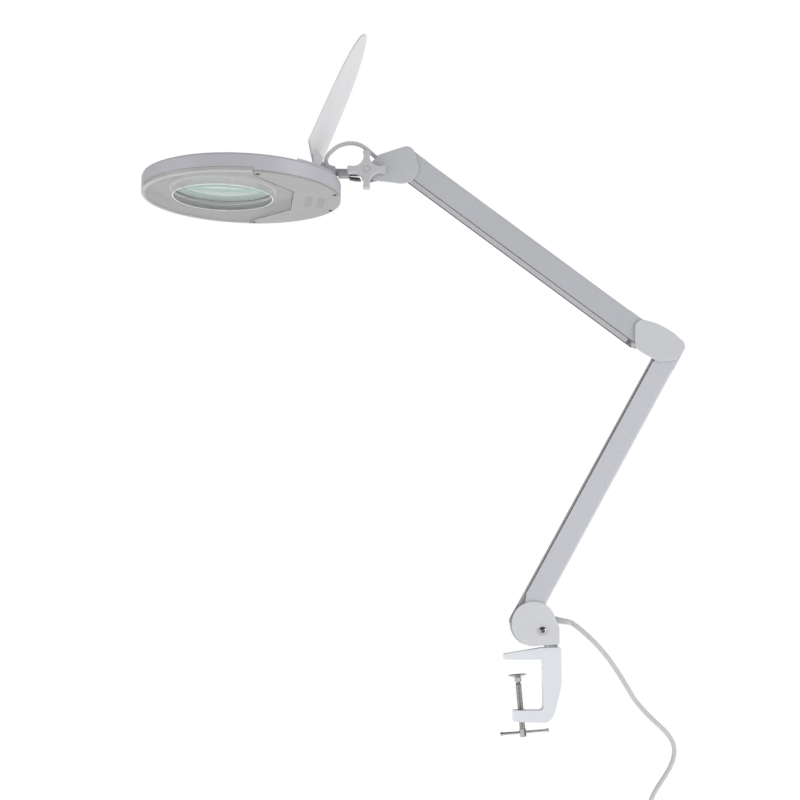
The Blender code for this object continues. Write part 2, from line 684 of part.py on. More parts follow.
def lid_outline():
    """(x, y) round the closed lid: nearly straight sides that turn into one broad round end."""
    steps = 28
    near = []
    for i in range(steps + 1):
        s = 1 - (1 - i / steps) ** 1.8
        half = LID_HALF * (1 - LID_NARROWING * (s - 0.5))
        near.append((-LID_LENGTH * s, -half * (1 - s ** LID_SIDES) ** LID_END))
    return near + [(x, -y) for x, y in near[-2::-1]]


def lens_lid(parent):
    """A flat lid, drawn lying closed and stood up on its hinge."""
    made = slab("lens_lid", lid_outline(), [], -LID_SHEET, 0.0, LID, False)
    foot = Vector((LID_FOOT[0] - HINGE[0], 0, LID_FOOT[1] - HINGE[1]))
    closed = math.pi / 2 + LID_LEAN
    level = Matrix.Rotation(-closed, 3, "Y") @ foot
    for side in (-1, 1):
        y0, y1 = sorted((side * EAR_INNER, side * EAR_OUTER))
        arm = hull([(-level.x, -level.z, 3.4), (-9.0, -1.9, 1.8), (-level.x - 10, -level.z, 3.0)])
        eye = [(x, z) for x, z in arm if z <= -0.05 or x > -3]
        join(made, slab("ear", eye, [circle((-level.x, -level.z), 1.5 + RUNNING, 16)], y0, y1, LID))
    made.data.transform(Matrix.Translation(level * MM))
    made.data.transform(Matrix.Rotation(closed, 4, "Y"))
    made.data.transform(Matrix.Translation(Vector(axis_point(HINGE)) * MM))
    return seat(made, axis_point(HINGE), parent)


def lid_pin(parent):
    half = EAR_OUTER + 0.4
    made = rod("lid_hinge_pin", (HINGE[0], -half, HINGE[1]), (0, 1, 0), 1.5, 2 * half, STEEL, 16)
    return seat(made, axis_point(HINGE), parent)


def rocker_switch(parent):
    x, y = ROCKER
    pivot = head_z(HEAD_HEIGHT + PLATEAU - 2.0)
    profile = [(-4.6, pivot - 4.0), (4.6, pivot - 4.0), (4.6, pivot + 2.2), (0, pivot + 3.4),
               (-4.6, pivot + 2.2)]
    made = slab("rocker_switch", [(x + a, z) for a, z in profile], [], y - 7.2, y + 7.2, BLACK)
    return seat(made, (x, y, pivot), parent)


def cable_gland(parent):
    at = (-230.5, 0, 577.9)
    profile = [(0, 0), (3.6, 0), (3.6, 2.0), (4.6, 2.0), (4.4, 3.6), (3.4, 5.6), (2.9, 6.6), (0, 6.6)]
    return seat(turned("cable_gland", profile, at, (0, 0, 1), SHELL, 24), at, parent)


# ---------------------------------------------------------------- cords
def smooth(points, spacing):
    """Even steps along a Catmull-Rom curve through the route's own points."""
    way = [Vector(p) for p in points]
    ends = [2 * way[0] - way[1], *way, 2 * way[-1] - way[-2]]
    fine = []
    for a, b, c, d in zip(ends, ends[1:], ends[2:], ends[3:]):
        for i in range(24):
            t = i / 24
            fine.append(0.5 * (2 * b + (c - a) * t + (2 * a - 5 * b + 4 * c - d) * t * t
                               + (3 * b - a - 3 * c + d) * t ** 3))
    fine.append(way[-1])
    total = sum((b - a).length for a, b in zip(fine, fine[1:]))
    step = total / max(2, round(total / spacing))
    kept, run = [fine[0]], 0.0
    for a, b in zip(fine, fine[1:]):
        run += (b - a).length
        if run >= step * len(kept) - 1e-6 and len(kept) * step < total - step / 2:
            kept.append(b)
    return kept + [fine[-1]]


def cord_tube(name, route, radius, parent=None, look=CORD):
    curve = bpy.data.curves.new(name, "CURVE")
    curve.dimensions = "3D"
    curve.bevel_depth = radius * MM
    curve.bevel_resolution = 2
    curve.use_fill_caps = True
    line = curve.splines.new("POLY")
    points = smooth(route, 4.0 * radius)
    line.points.add(len(points) - 1)
    origin = Vector(route[0]) * MM
    for knot, at in zip(line.points, points):
        knot.co = (*(at * MM - origin), 1.0)
    made = bpy.data.objects.new(name, curve)
    bpy.context.scene.collection.objects.link(made)
    curve.materials.append(look)
    made.location = origin
    if parent:
        made.parent = parent
        made.location = origin - parent.location
    return made


# (x, z) of the mains cord's own bends, in the plane of the arms, then down to the coil
CORD_ROUTE = [(54.8, 41.2), (58.6, 38.6), (63.6, 34.9), (71.2, 28.2), (79.8, 20.0), (88.4, 10.7),
              (97.0, -0.1), (105.4, -12.4), (112.5, -23.6), (119.3, -35.2), (126.0, -46.0),
              (134.2, -56.0), (143.8, -66.0), (153.8, -75.4), (162.0, -84.2), (167.2, -92.6),
              (169.1, -100.6), (168.3, -109.1), (165.0, -118.2), (159.8, -127.4), (153.6, -136.4),
              (147.2, -146.0), (141.8, -156.4), (138.8, -167.2), (138.0, -178.4)]
# (x, z) of the short lead that loops over the tilt joint, from the head's gland to the bracket
LOOP_ROUTE = [(-230.2, 586.4), (-228.6, 592.2), (-223.2, 598.6), (-216.2, 604.3), (-208.2, 607.6),
              (-200.2, 608.6), (-192.2, 607.5), (-184.6, 603.9), (-177.6, 598.0), (-170.8, 591.8),
              (-164.6, 586.8)]


def cord_relief():
    """The tapered sleeve where the cord leaves the base, with a collar outside its hole."""
    profile = [(0, 0), (3.7, 0), (3.7, 5.8), (4.2, 6.0), (4.2, 7.2), (3.5, 8.0), (3.0, 20.0), (0, 20.0)]
    return seat(turned("cord_relief", profile, RELIEF_START, RELIEF_AXIS, CORD), RELIEF_START)


def cord_coil():
    x, z = COIL_CENTRE
    made = ring("cord_coil", COIL_RADIUS - COIL_HALF, COIL_RADIUS + COIL_HALF, -COIL_HALF,
                COIL_HALF, (x, 0, z), (0, 1, 0), CORD, 48)
    return seat(made, (x, 0, z))


def cord_tie():
    """A strap round the coil's top."""
    x, z = COIL_CENTRE
    z += COIL_RADIUS
    inner, outer = COIL_HALF + 0.6, COIL_HALF + 1.8
    made = block("cord_tie", (x - 4, -outer, z - outer), (x + 4, outer, z + outer), BLACK)
    cut(made, block("inside", (x - 5, -inner, z - inner), (x + 5, inner, z + inner), BLACK))
    return seat(made, (x, 0, z))


def power_plug():
    """A flat two-pin plug hanging under the coil by its own strain relief."""
    top = Vector((COIL_CENTRE[0] + COIL_RADIUS + 2 * CORD_RADIUS, 2 * CORD_RADIUS, PLUG_TOP_Z))
    down = (0, 0, -1)
    made = turned("power_plug", [(0, 0), (4.0, 0), (5.4, 24), (0, 24)], top, down, CORD, 24)
    body = [(-12.5, 26), (-9.5, 22), (9.5, 22), (12.5, 26), (17.0, 50), (17.0, 56), (-17.0, 56)]
    body.append((-17.0, 50))
    outline = [(top.x + a, top.z - b) for a, b in body]
    join(made, slab("body", outline, [], top.y - 6.8, top.y + 6.8, CORD))
    for side in (-9.3, 9.3):
        at = (top.x + side, top.y, top.z - 54)
        join(made, turned("prong", [(0, 0), (2.0, 0), (2.0, 20.4), (1.2, 21.2), (0, 21.2)], at,
                          down, CORD, 16))
    return seat(made, top)


# ---------------------------------------------------------------- the lamp
def build_clamp():
    clamp_frame()
    thread_insert()
    pressure_pad()
    clamp_screw()
    tommy_bar()


def build_base():
    spigot()
    swivel_washer()
    base_core()
    at = (SPIGOT_X, 0, 0)
    seat(cover("base_cover_front", base_outline(), -1, COVER, BASE_SCREW), at)
    seat(cover("base_cover_back", base_outline(), 1), at)
    base_cover_screw()
    cross_pin("base_main_pin", BASE_MAIN, MAIN_PIN_RADIUS, SHELL_HALF)
    cross_pin("base_link_pin", BASE_LINK, LINK_PIN_RADIUS, LINK_HALF)
    cord_relief()
    cord_tube("power_cord", [(x, 0, z) for x, z in CORD_ROUTE], CORD_RADIUS)
    cord_coil()
    cord_tie()
    power_plug()


def build_lower_arm():
    arm_shell("lower_arm_shell", BASE_MAIN, LOWER_ANGLE, LOWER_LENGTH, LOWER_DEPTH, LOWER_TAPER)
    arm_link("lower_arm_link", BASE_LINK, LOWER_ANGLE, LOWER_LENGTH, LOWER_LINK_SETBACK)
    for name, y in (("lower_spring_front", -5.4), ("lower_spring_back", 5.4)):
        spring(name, BASE_MAIN, LOWER_ANGLE, 18, 206, -4.5, y)
    spring_anchor("lower_spring_anchor", BASE_MAIN, LOWER_ANGLE, 208.6, -0.5)


def build_elbow(main, link):
    elbow_core(main, link)
    at = axis_point(main)
    seat(cover("elbow_cover_front", hull(ELBOW_FRONT), -1), at)
    seat(cover("elbow_cover_back", hull(ELBOW_BACK), 1), at)
    cross_pin("elbow_lower_main_pin", main, MAIN_PIN_RADIUS, SHELL_HALF)
    cross_pin("elbow_lower_link_pin", link, LINK_PIN_RADIUS, LINK_HALF)
    cross_pin("elbow_upper_main_pin", ELBOW_UPPER_MAIN, MAIN_PIN_RADIUS, SHELL_HALF)
    cross_pin("elbow_upper_link_pin", ELBOW_UPPER_LINK, LINK_PIN_RADIUS, LINK_HALF)


def build_upper_arm():
    arm_shell("upper_arm_shell", ELBOW_UPPER_MAIN, UPPER_ANGLE, UPPER_LENGTH, UPPER_DEPTH,
              UPPER_TAPER)
    arm_link("upper_arm_link", ELBOW_UPPER_LINK, UPPER_ANGLE, UPPER_LENGTH, UPPER_LINK_SETBACK)
    spring("upper_spring", ELBOW_UPPER_MAIN, UPPER_ANGLE, 20, 190, -5.0, 0.0)
    spring_anchor("upper_spring_anchor", ELBOW_UPPER_MAIN, UPPER_ANGLE, 192.6, -0.5)


def build_bracket(main, link):
    head_core(main, link)
    at = axis_point(main)
    seat(cover("head_cover_front", hull(BRACKET_FRONT), -1), at)
    seat(cover("head_cover_back", hull(BRACKET_BACK), 1), at)
    cross_pin("head_main_pin", main, MAIN_PIN_RADIUS, SHELL_HALF)
    cross_pin("head_link_pin", link, LINK_PIN_RADIUS, LINK_HALF)
    star_knob()
    tilt_bolt()


def build_head():
    tipped = pivot_empty("head_tilt_axis", TILT, HEAD_TIP)
    friction_disc("friction_disc", -5.8)
    stem_bar(tipped)
    stem_sleeve(tipped)
    head_shell(tipped)
    bottom_plate(tipped)
    clear_cover(tipped)
    lens_collar(tipped)
    lens(tipped)
    led_board(tipped)
    for number, point in enumerate(PLATE_SCREWS, 1):
        plate_screw(number, point, tipped)
    lens_lid(tipped)
    lid_pin(tipped)
    rocker_switch(tipped)
    cable_gland(tipped)


def build_loop():
    """The head's lead, in two lengths that meet above the stem."""
    route = [(x, 0, z) for x, z in LOOP_ROUTE]
    cord_tube("loop_cable_head", route[:6], CABLE_RADIUS)
    rest = route[5:]
    rest[0] = (rest[0][0] + 4 * GAP, 0, rest[0][2])
    cord_tube("loop_cable_bracket", rest, CABLE_RADIUS)


def build_lamp():
    build_clamp()
    build_base()
    build_lower_arm()
    build_elbow(*arm_pins(BASE_MAIN, BASE_LINK, LOWER_ANGLE, LOWER_LENGTH))
    build_upper_arm()
    build_bracket(*arm_pins(ELBOW_UPPER_MAIN, ELBOW_UPPER_LINK, UPPER_ANGLE, UPPER_LENGTH))
    build_head()
    build_loop()


build_lamp()
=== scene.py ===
"""Looks of the clamp-on magnifying lamp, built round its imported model.

Lengths are in millimetres and become metres when a mesh is made. X runs from the table edge
outwards, Y away from the viewer, Z up, and the origin is the clamp's seat. Pivots come from the
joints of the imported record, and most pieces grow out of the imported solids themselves.
"""

import json
import math

import bmesh
import bpy
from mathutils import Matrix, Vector

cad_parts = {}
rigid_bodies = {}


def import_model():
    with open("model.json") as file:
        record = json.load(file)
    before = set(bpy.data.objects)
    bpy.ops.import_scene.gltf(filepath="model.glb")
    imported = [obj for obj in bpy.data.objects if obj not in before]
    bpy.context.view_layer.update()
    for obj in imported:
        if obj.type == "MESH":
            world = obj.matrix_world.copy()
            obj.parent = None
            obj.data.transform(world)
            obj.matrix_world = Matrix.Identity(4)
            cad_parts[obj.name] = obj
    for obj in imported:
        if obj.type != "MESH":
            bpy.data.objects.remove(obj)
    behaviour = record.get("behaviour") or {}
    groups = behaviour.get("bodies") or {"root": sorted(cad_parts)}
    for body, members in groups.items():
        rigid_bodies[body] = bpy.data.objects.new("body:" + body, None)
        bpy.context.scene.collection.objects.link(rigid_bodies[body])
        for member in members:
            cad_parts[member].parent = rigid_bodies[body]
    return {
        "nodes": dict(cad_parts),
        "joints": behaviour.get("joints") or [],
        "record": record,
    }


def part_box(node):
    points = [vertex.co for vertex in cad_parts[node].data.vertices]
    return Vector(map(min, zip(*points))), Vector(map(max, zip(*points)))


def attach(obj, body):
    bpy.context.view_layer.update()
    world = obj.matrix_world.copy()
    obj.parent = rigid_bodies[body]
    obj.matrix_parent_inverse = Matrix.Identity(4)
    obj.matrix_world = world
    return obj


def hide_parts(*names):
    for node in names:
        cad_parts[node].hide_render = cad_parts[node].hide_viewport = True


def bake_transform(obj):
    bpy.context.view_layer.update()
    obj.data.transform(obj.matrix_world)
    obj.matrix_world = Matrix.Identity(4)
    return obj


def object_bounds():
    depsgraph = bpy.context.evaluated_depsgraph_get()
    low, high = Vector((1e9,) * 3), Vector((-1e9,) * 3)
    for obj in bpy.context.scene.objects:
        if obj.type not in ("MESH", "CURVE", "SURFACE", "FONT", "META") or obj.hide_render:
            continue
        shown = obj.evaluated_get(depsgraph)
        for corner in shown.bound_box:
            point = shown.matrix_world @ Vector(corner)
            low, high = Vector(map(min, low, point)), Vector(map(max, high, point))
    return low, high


for leftover in list(bpy.data.objects):
    bpy.data.objects.remove(leftover, do_unlink=True)

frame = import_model()
CAD_BOX = [list(corner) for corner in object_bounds()]

MM = 0.001
RECORD = frame["record"]
JOINT = {j["name"]: j for j in frame["joints"]}
SLOT_OF = {s["node"]: s["material_slot"] for s in RECORD["subparts"]}
BODY_OF = {n: body for body, nodes in RECORD["behaviour"]["bodies"].items() for n in nodes}


def pivot(joint):
    return Vector(JOINT[joint]["pos_m"]) / MM


def corners(node):
    """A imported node's lowest and highest corner, in millimetres."""
    low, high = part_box(node)
    return low / MM, high / MM


# ---------------------------------------------------------------- camera
CAMERA_AT = (-0.1416, -1.777, 0.0554)
CAMERA_PITCH = math.radians(97.8)
SENSOR_WIDTH, FOCAL_LENGTH = 36.0, 69.08


def camera():
    data = bpy.data.cameras.new("camera")
    data.sensor_width = SENSOR_WIDTH
    data.lens = FOCAL_LENGTH
    made = bpy.data.objects.new("camera", data)
    made.location = CAMERA_AT
    made.rotation_euler = (CAMERA_PITCH, 0.0, 0.0)
    bpy.context.scene.collection.objects.link(made)
    bpy.context.scene.camera = made


# ---------------------------------------------------------------- the head's own frame
HEAD_X, HEAD_BASE_Z = -329.8, 537.9
TIP = math.radians(1.0)
SEAM_TURN = math.radians(6.5)
# the seam between plate and cover, front to back, in a frame turned by SEAM_TURN about the head's axis
SEAM = [(12.0, -117.2), (14.0, -101.0), (60.0, -41.0), (60.0, 41.0), (14.0, 101.0), (12.0, 117.2)]
LENS_OFFSET = -22.0
UPWARDS = (math.sin(TIP), 0, math.cos(TIP))


def in_head(x, y, height):
    """A point of the level head (height above its underside), tipped with it about the tilt axis."""
    tilt = pivot("head_tilt")
    dx, dz = x - tilt.x, HEAD_BASE_Z + height - tilt.z
    c, s = math.cos(TIP), math.sin(TIP)
    return Vector((tilt.x + dx * c + dz * s, y, tilt.z - dx * s + dz * c))


def on_seam(point, height):
    """A point of the seam's turned frame, at a height above the head's underside."""
    x, y = point
    c, s = math.cos(SEAM_TURN), math.sin(SEAM_TURN)
    return in_head(HEAD_X + x * c - y * s, x * s + y * c, height)


# ---------------------------------------------------------------- materials
def shader_of(name):
    made = bpy.data.materials.new(name)
    made.use_nodes = True
    return made, made.node_tree, made.node_tree.nodes["Principled BSDF"]


def noise(tree, scale, detail=3.0, stretch=(1, 1, 1)):
    """Noise in the object's own space, with a scale in features a metre."""
    place = tree.nodes.new("ShaderNodeTexCoord")
    mapping = tree.nodes.new("ShaderNodeMapping")
    mapping.inputs["Scale"].default_value = stretch
    grain = tree.nodes.new("ShaderNodeTexNoise")
    grain.inputs["Scale"].default_value = scale
    grain.inputs["Detail"].default_value = detail
    tree.links.new(place.outputs["Object"], mapping.inputs["Vector"])
    tree.links.new(mapping.outputs["Vector"], grain.inputs["Vector"])
    return grain.outputs["Fac"]


def spread(tree, value, low, high):
    """Map a noise value's middle range onto low to high."""
    ramp = tree.nodes.new("ShaderNodeMapRange")
    ramp.inputs["From Min"].default_value = 0.3
    ramp.inputs["From Max"].default_value = 0.7
    ramp.inputs["To Min"].default_value = low
    ramp.inputs["To Max"].default_value = high
    tree.links.new(value, ramp.inputs["Value"])
    return ramp.outputs["Result"]


def mixed(tree, factor, first, second):
    blend = tree.nodes.new("ShaderNodeMix")
    blend.data_type = "RGBA"
    tree.links.new(factor, blend.inputs["Factor"])
    for socket, colour in (("A", first), ("B", second)):
        if isinstance(colour, bpy.types.NodeSocket):
            tree.links.new(colour, blend.inputs[socket])
        else:
            blend.inputs[socket].default_value = (*colour, 1.0)
    return blend.outputs["Result"]


def shade(colour, factor):
    return tuple(min(1.0, c * factor) for c in colour)


def bumped(tree, shader, height, strength, depth):
    bump = tree.nodes.new("ShaderNodeBump")
    bump.inputs["Strength"].default_value = strength
    bump.inputs["Distance"].default_value = depth * MM
    tree.links.new(height, bump.inputs["Height"])
    tree.links.new(bump.outputs["Normal"], shader.inputs["Normal"])


def highlit_and_worn_edges(tree, colour, edge):
    """Lighten convex edges: partly the coating rubbed thin, partly a painted highlight along them."""
    geometry = tree.nodes.new("ShaderNodeNewGeometry")
    ramp = tree.nodes.new("ShaderNodeMapRange")
    ramp.inputs["From Min"].default_value = 0.53
    ramp.inputs["From Max"].default_value = 0.62
    tree.links.new(geometry.outputs["Pointiness"], ramp.inputs["Value"])
    return mixed(tree, ramp.outputs["Result"], colour, edge)


def painted(name, colour, rough=0.38, peel=0.05, edge_highlight_and_wear=1.10):
    """Powder coat: soft orange peel, faint mottling, and convex edges lighter by a factor: partly the
    coating rubbed thin, partly a painted highlight.
    """
    made, tree, shader = shader_of(name)
    mottle = spread(tree, noise(tree, 14.0), 0, 1)
    tone = mixed(tree, mottle, shade(colour, 0.985), shade(colour, 1.015))
    # lighter convex edges: partly rubbed coating, partly a painted highlight
    tree.links.new(highlit_and_worn_edges(tree, tone, shade(colour, edge_highlight_and_wear)), shader.inputs["Base Color"])
    tree.links.new(spread(tree, noise(tree, 60.0), rough - 0.04, rough + 0.04), shader.inputs["Roughness"])
    bumped(tree, shader, noise(tree, 520.0, 2.0), 0.25, peel)
    shader.inputs["Specular IOR Level"].default_value = 0.45
    return made


def moulded(name, colour, rough=0.48, grain=0.04):
    """Moulded plastic with a fine spark-eroded texture."""
    made, tree, shader = shader_of(name)
    tone = mixed(tree, spread(tree, noise(tree, 22.0), 0, 1), shade(colour, 0.98), shade(colour, 1.02))
    # lighter convex edges: partly rubbed plastic, partly a painted highlight
    tree.links.new(highlit_and_worn_edges(tree, tone, shade(colour, 1.08)), shader.inputs["Base Color"])
    tree.links.new(spread(tree, noise(tree, 160.0), rough - 0.05, rough + 0.05), shader.inputs["Roughness"])
    bumped(tree, shader, noise(tree, 1800.0, 4.0), 0.3, grain)
    return made


def plated(name, colour, rough=0.14):
    """Plated steel with fine turning marks and a few dull patches."""
    made, tree, shader = shader_of(name)
    tone = mixed(tree, spread(tree, noise(tree, 90.0), 0, 1), shade(colour, 0.9), shade(colour, 1.08))
    tree.links.new(tone, shader.inputs["Base Color"])
    tree.links.new(spread(tree, noise(tree, 260.0), rough - 0.05, rough + 0.08), shader.inputs["Roughness"])
    shader.inputs["Metallic"].default_value = 1.0
    bumped(tree, shader, noise(tree, 2400.0, 2.0, (1, 1, 0.15)), 0.12, 0.02)
    return made


def rubbery(name, colour, rough=0.5):
    """Soft PVC: a slight sheen and a fine matt skin."""
    made, tree, shader = shader_of(name)
    tone = mixed(tree, spread(tree, noise(tree, 35.0), 0, 1), shade(colour, 0.96), shade(colour, 1.04))
    tree.links.new(tone, shader.inputs["Base Color"])
    tree.links.new(spread(tree, noise(tree, 300.0), rough - 0.07, rough + 0.07), shader.inputs["Roughness"])
    bumped(tree, shader, noise(tree, 1400.0, 3.0), 0.25, 0.03)
    shader.inputs["Sheen Weight"].default_value = 0.1
    return made


def clear(name, colour, rough, ior, haze):
    """Clear plastic or glass, with faint waves in its surface."""
    made, tree, shader = shader_of(name)
    tone = mixed(tree, spread(tree, noise(tree, 12.0), 0, 1), shade(colour, 0.99), shade(colour, 1.01))
    tree.links.new(tone, shader.inputs["Base Color"])
    tree.links.new(spread(tree, noise(tree, 120.0), rough, rough + haze), shader.inputs["Roughness"])
    shader.inputs["Transmission Weight"].default_value = 1.0
    shader.inputs["IOR"].default_value = ior
    bumped(tree, shader, noise(tree, 90.0, 1.0), 0.08, 0.04)
    return made


RIM_INNER, RIM_OUTER = 112.5, 115.0
RIM_BODY = 0.85


def thin_clear(name, colour, rough, body):
    """Thin glossy see-through plastic. It hides the share body of what is behind it, more at the rim."""
    made, tree, shader = shader_of(name)
    tone = mixed(tree, spread(tree, noise(tree, 18.0), 0, 1), shade(colour, 0.98), shade(colour, 1.02))
    tree.links.new(tone, shader.inputs["Base Color"])
    tree.links.new(spread(tree, noise(tree, 120.0), rough, rough + 0.05), shader.inputs["Roughness"])
    place = tree.nodes.new("ShaderNodeTexCoord")
    reach = tree.nodes.new("ShaderNodeVectorMath")
    reach.operation = "DISTANCE"
    reach.inputs[1].default_value = in_head(HEAD_X, 0, 0) * MM
    tree.links.new(place.outputs["Object"], reach.inputs[0])
    frost = tree.nodes.new("ShaderNodeMapRange")
    frost.inputs["From Min"].default_value = RIM_INNER * MM
    frost.inputs["From Max"].default_value = RIM_OUTER * MM
    frost.inputs["To Min"].default_value = body
    frost.inputs["To Max"].default_value = RIM_BODY
    tree.links.new(reach.outputs["Value"], frost.inputs["Value"])
    tree.links.new(frost.outputs["Result"], shader.inputs["Alpha"])
    bumped(tree, shader, noise(tree, 90.0, 1.0), 0.08, 0.04)
    return made


LOOKS = {
    "clamp_white": painted("clamp_white", (0.71, 0.735, 0.775), 0.34, 0.08),
    # cover_grey, base_cover and bracket_cover are one plastic in lit and shaded copies: painted light at the
    # base, painted shade at the head
    "cover_grey": moulded("cover_grey", (0.55, 0.56, 0.585), 0.42),
    "base_cover": moulded("base_cover", (0.61, 0.62, 0.645), 0.42),
    "bracket_cover": moulded("bracket_cover", (0.475, 0.485, 0.51), 0.42),
    "sleeve_grey": moulded("sleeve_grey", (0.38, 0.38, 0.39), 0.42),
    # lower_arm is a lit copy of arm_grey, the same paint: painted light on the lower arm, painted shade on
    # the upper
    "lower_arm": painted("lower_arm", (0.53, 0.54, 0.575), 0.36, edge_highlight_and_wear=1.0),
    "arm_grey": painted("arm_grey", (0.455, 0.462, 0.49), 0.36, edge_highlight_and_wear=1.0),
    "link_grey": painted("link_grey", (0.33, 0.33, 0.355), 0.42, edge_highlight_and_wear=1.0),
    "core_grey": painted("core_grey", (0.36, 0.37, 0.39), 0.5, 0.1),
    "bright_steel": plated("bright_steel", (0.56, 0.56, 0.58)),
    "dark_chrome": plated("dark_chrome", (0.44, 0.43, 0.42), 0.07),
    "black_plastic": moulded("black_plastic", (0.02, 0.02, 0.022), 0.45),
    "head_grey": moulded("head_grey", (0.425, 0.428, 0.46), 0.4, 0.03),
    "plate_grey": moulded("plate_grey", (0.33, 0.327, 0.327), 0.5),
    "clear_plastic": thin_clear("clear_plastic", (0.43, 0.436, 0.432), 0.10, 0.42),
    "collar_clear": thin_clear("collar_clear", (0.56, 0.57, 0.565), 0.05, 0.22),
    "lens_glass": clear("lens_glass", (0.86, 0.94, 0.915), 0.0, 1.30, 0.01),
    "lid_grey": moulded("lid_grey", (0.66, 0.66, 0.68), 0.42, 0.03),
    "knob_grey": moulded("knob_grey", (0.49, 0.49, 0.505), 0.5),
    "cord_grey": rubbery("cord_grey", (0.55, 0.55, 0.565), 0.34),
    "board_white": moulded("board_white", (0.80, 0.80, 0.78), 0.55),
    "pan_grey": moulded("pan_grey", (0.50, 0.50, 0.495), 0.5),
    "board_grey": moulded("board_grey", (0.50, 0.50, 0.49), 0.5),
    # near-white rings round the lens opening: painted highlights
    "rim_highlight_white": moulded("rim_highlight_white", (0.85, 0.86, 0.86), 0.4),
    # near-black strips on the arms' lower edges: painted shade
    "shade_strips": rubbery("shade_strips", (0.12, 0.12, 0.125), 0.6),
    "sticker": moulded("sticker", (0.25, 0.255, 0.26), 0.5, 0.01),
}


# ---------------------------------------------------------------- making pieces
def placed(made, body, nodes, slot, look=None):
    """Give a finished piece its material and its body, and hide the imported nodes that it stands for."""
    made.data.materials.clear()
    made.data.materials.append(LOOKS[look or slot])
    if nodes:
        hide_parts(*nodes)
    if body:
        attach(made, body)
    return made


def linked(name, mesh):
    made = bpy.data.objects.new(name, mesh)
    bpy.context.scene.collection.objects.link(made)
    return made


def smoothed(made, angle=35.0):
    for face in made.data.polygons:
        face.use_smooth = True
    made.data.set_sharp_from_angle(angle=math.radians(angle))
    return made


def rounded(made, width, segments=3, angle=32.0):
    """Round every edge sharper than an angle."""
    step = made.modifiers.new("round", "BEVEL")
    step.width = width * MM
    step.segments = segments
    step.limit_method = "ANGLE"
    step.angle_limit = math.radians(angle)
    step.harden_normals = True
    return made


def refined(node, width, segments=3, look=None):
    """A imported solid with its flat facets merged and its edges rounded."""
    mesh = bpy.data.meshes.new(node + "_fine")
    shape = bmesh.new()
    shape.from_mesh(frame["nodes"][node].data)
    bmesh.ops.remove_doubles(shape, verts=shape.verts, dist=0.003 * MM)
    flat = math.radians(0.6)
    bmesh.ops.dissolve_limit(shape, angle_limit=flat, verts=shape.verts, edges=shape.edges)
    bmesh.ops.recalc_face_normals(shape, faces=shape.faces)
    shape.to_mesh(mesh)
    shape.free()
    made = smoothed(linked(mesh.name, mesh))
    rounded(made, width, segments)
    return placed(made, BODY_OF[node], [node], SLOT_OF[node], look)


def solid(name, points, faces):
    mesh = bpy.data.meshes.new(name)
    mesh.from_pydata([Vector(p) * MM for p in points], [], faces)
    shape = bmesh.new()
    shape.from_mesh(mesh)
    bmesh.ops.recalc_face_normals(shape, faces=shape.faces)
    shape.to_mesh(mesh)
    shape.free()
    return smoothed(linked(name, mesh))


def lathe(name, profile, base, direction, steps=96):
    """A closed profile of (radius, height) points turned about an axis through base."""
    to_axis = Vector((0, 0, 1)).rotation_difference(Vector(direction)).to_matrix()
    points, rings = [], []
    for radius, height in profile:
        if radius == 0:
            rings.append([len(points)] * steps)
            points.append(to_axis @ Vector((0, 0, height)) + Vector(base))
            continue
        rings.append(list(range(len(points), len(points) + steps)))
        for i in range(steps):
            a = 2 * math.pi * i / steps
            at = Vector((radius * math.cos(a), radius * math.sin(a), height))
            points.append(to_axis @ at + Vector(base))
    faces = []
    for lower, upper in zip(rings, rings[1:] + rings[:1]):
        for i in range(steps):
            j = (i + 1) % steps
            loop = list(dict.fromkeys([lower[i], lower[j], upper[j], upper[i]]))
            if len(loop) > 2:
                faces.append(loop)
    return solid(name, points, faces)


def wire(name, points, radius, resolution=4):
    """A round wire or cable along a smooth line through its points."""
    curve = bpy.data.curves.new(name, "CURVE")
    curve.dimensions = "3D"
    curve.bevel_depth = radius * MM
    curve.bevel_resolution = resolution
    curve.resolution_u = 6
    curve.use_fill_caps = True
    line = curve.splines.new("BEZIER")
    line.bezier_points.add(len(points) - 1)
    for knot, at in zip(line.bezier_points, points):
        knot.co = Vector(at) * MM
        knot.handle_left_type = knot.handle_right_type = "AUTO"
    made = bpy.data.objects.new(name, curve)
    bpy.context.scene.collection.objects.link(made)
    return made


def as_mesh(made):
    """Turn a curve object into a plain mesh object of the same name."""
    bpy.context.view_layer.update()
    ready = made.evaluated_get(bpy.context.evaluated_depsgraph_get())
    mesh = bpy.data.meshes.new_from_object(ready)
    name = made.name
    bpy.data.objects.remove(made, do_unlink=True)
    return smoothed(linked(name, mesh), 60)


# ---------------------------------------------------------------- cords
CORD_RADIUS = 2.75
# (x, z) of the cord's free length, in the plane of the arms, from its relief down to the coil
CORD_ROUTE = [(54.8, 41.2), (58.6, 38.6), (63.6, 34.9), (71.2, 28.2), (79.8, 20.0), (88.4, 10.7),
              (97.0, -0.1), (105.4, -12.4), (112.5, -23.6), (119.3, -35.2), (126.0, -46.0),
              (134.2, -56.0), (143.8, -66.0), (153.8, -75.4), (162.0, -84.2), (167.2, -92.6),
              (169.1, -100.6), (168.3, -109.1), (165.0, -118.2), (159.8, -127.4), (153.6, -136.4),
              (147.2, -146.0), (141.8, -156.4), (138.8, -167.2), (138.0, -178.4), (138.0, -192.0)]
RELIEF_AXIS = Vector((0.985, 0.0, -0.17)).normalized()
RELIEF_ROOT = (33.6, 0.0, 45.1)
RELIEF_SHAPE = [(2.8, 0.0), (3.7, 0.0), (3.5, 8.0), (3.0, 20.6), (2.8, 21.0)]
COIL_CENTRE = (108.0, -206.0)
COIL_RADIUS = 30.0
COIL_STEPS = 16
# the eight turns, as steps of one cord diameter along the coil's axis and outwards
COIL_TURNS = [(0, 0), (0, -1), (-1, -1), (-1, 0), (-1, 1), (1, -1), (1, 0), (1, 1)]


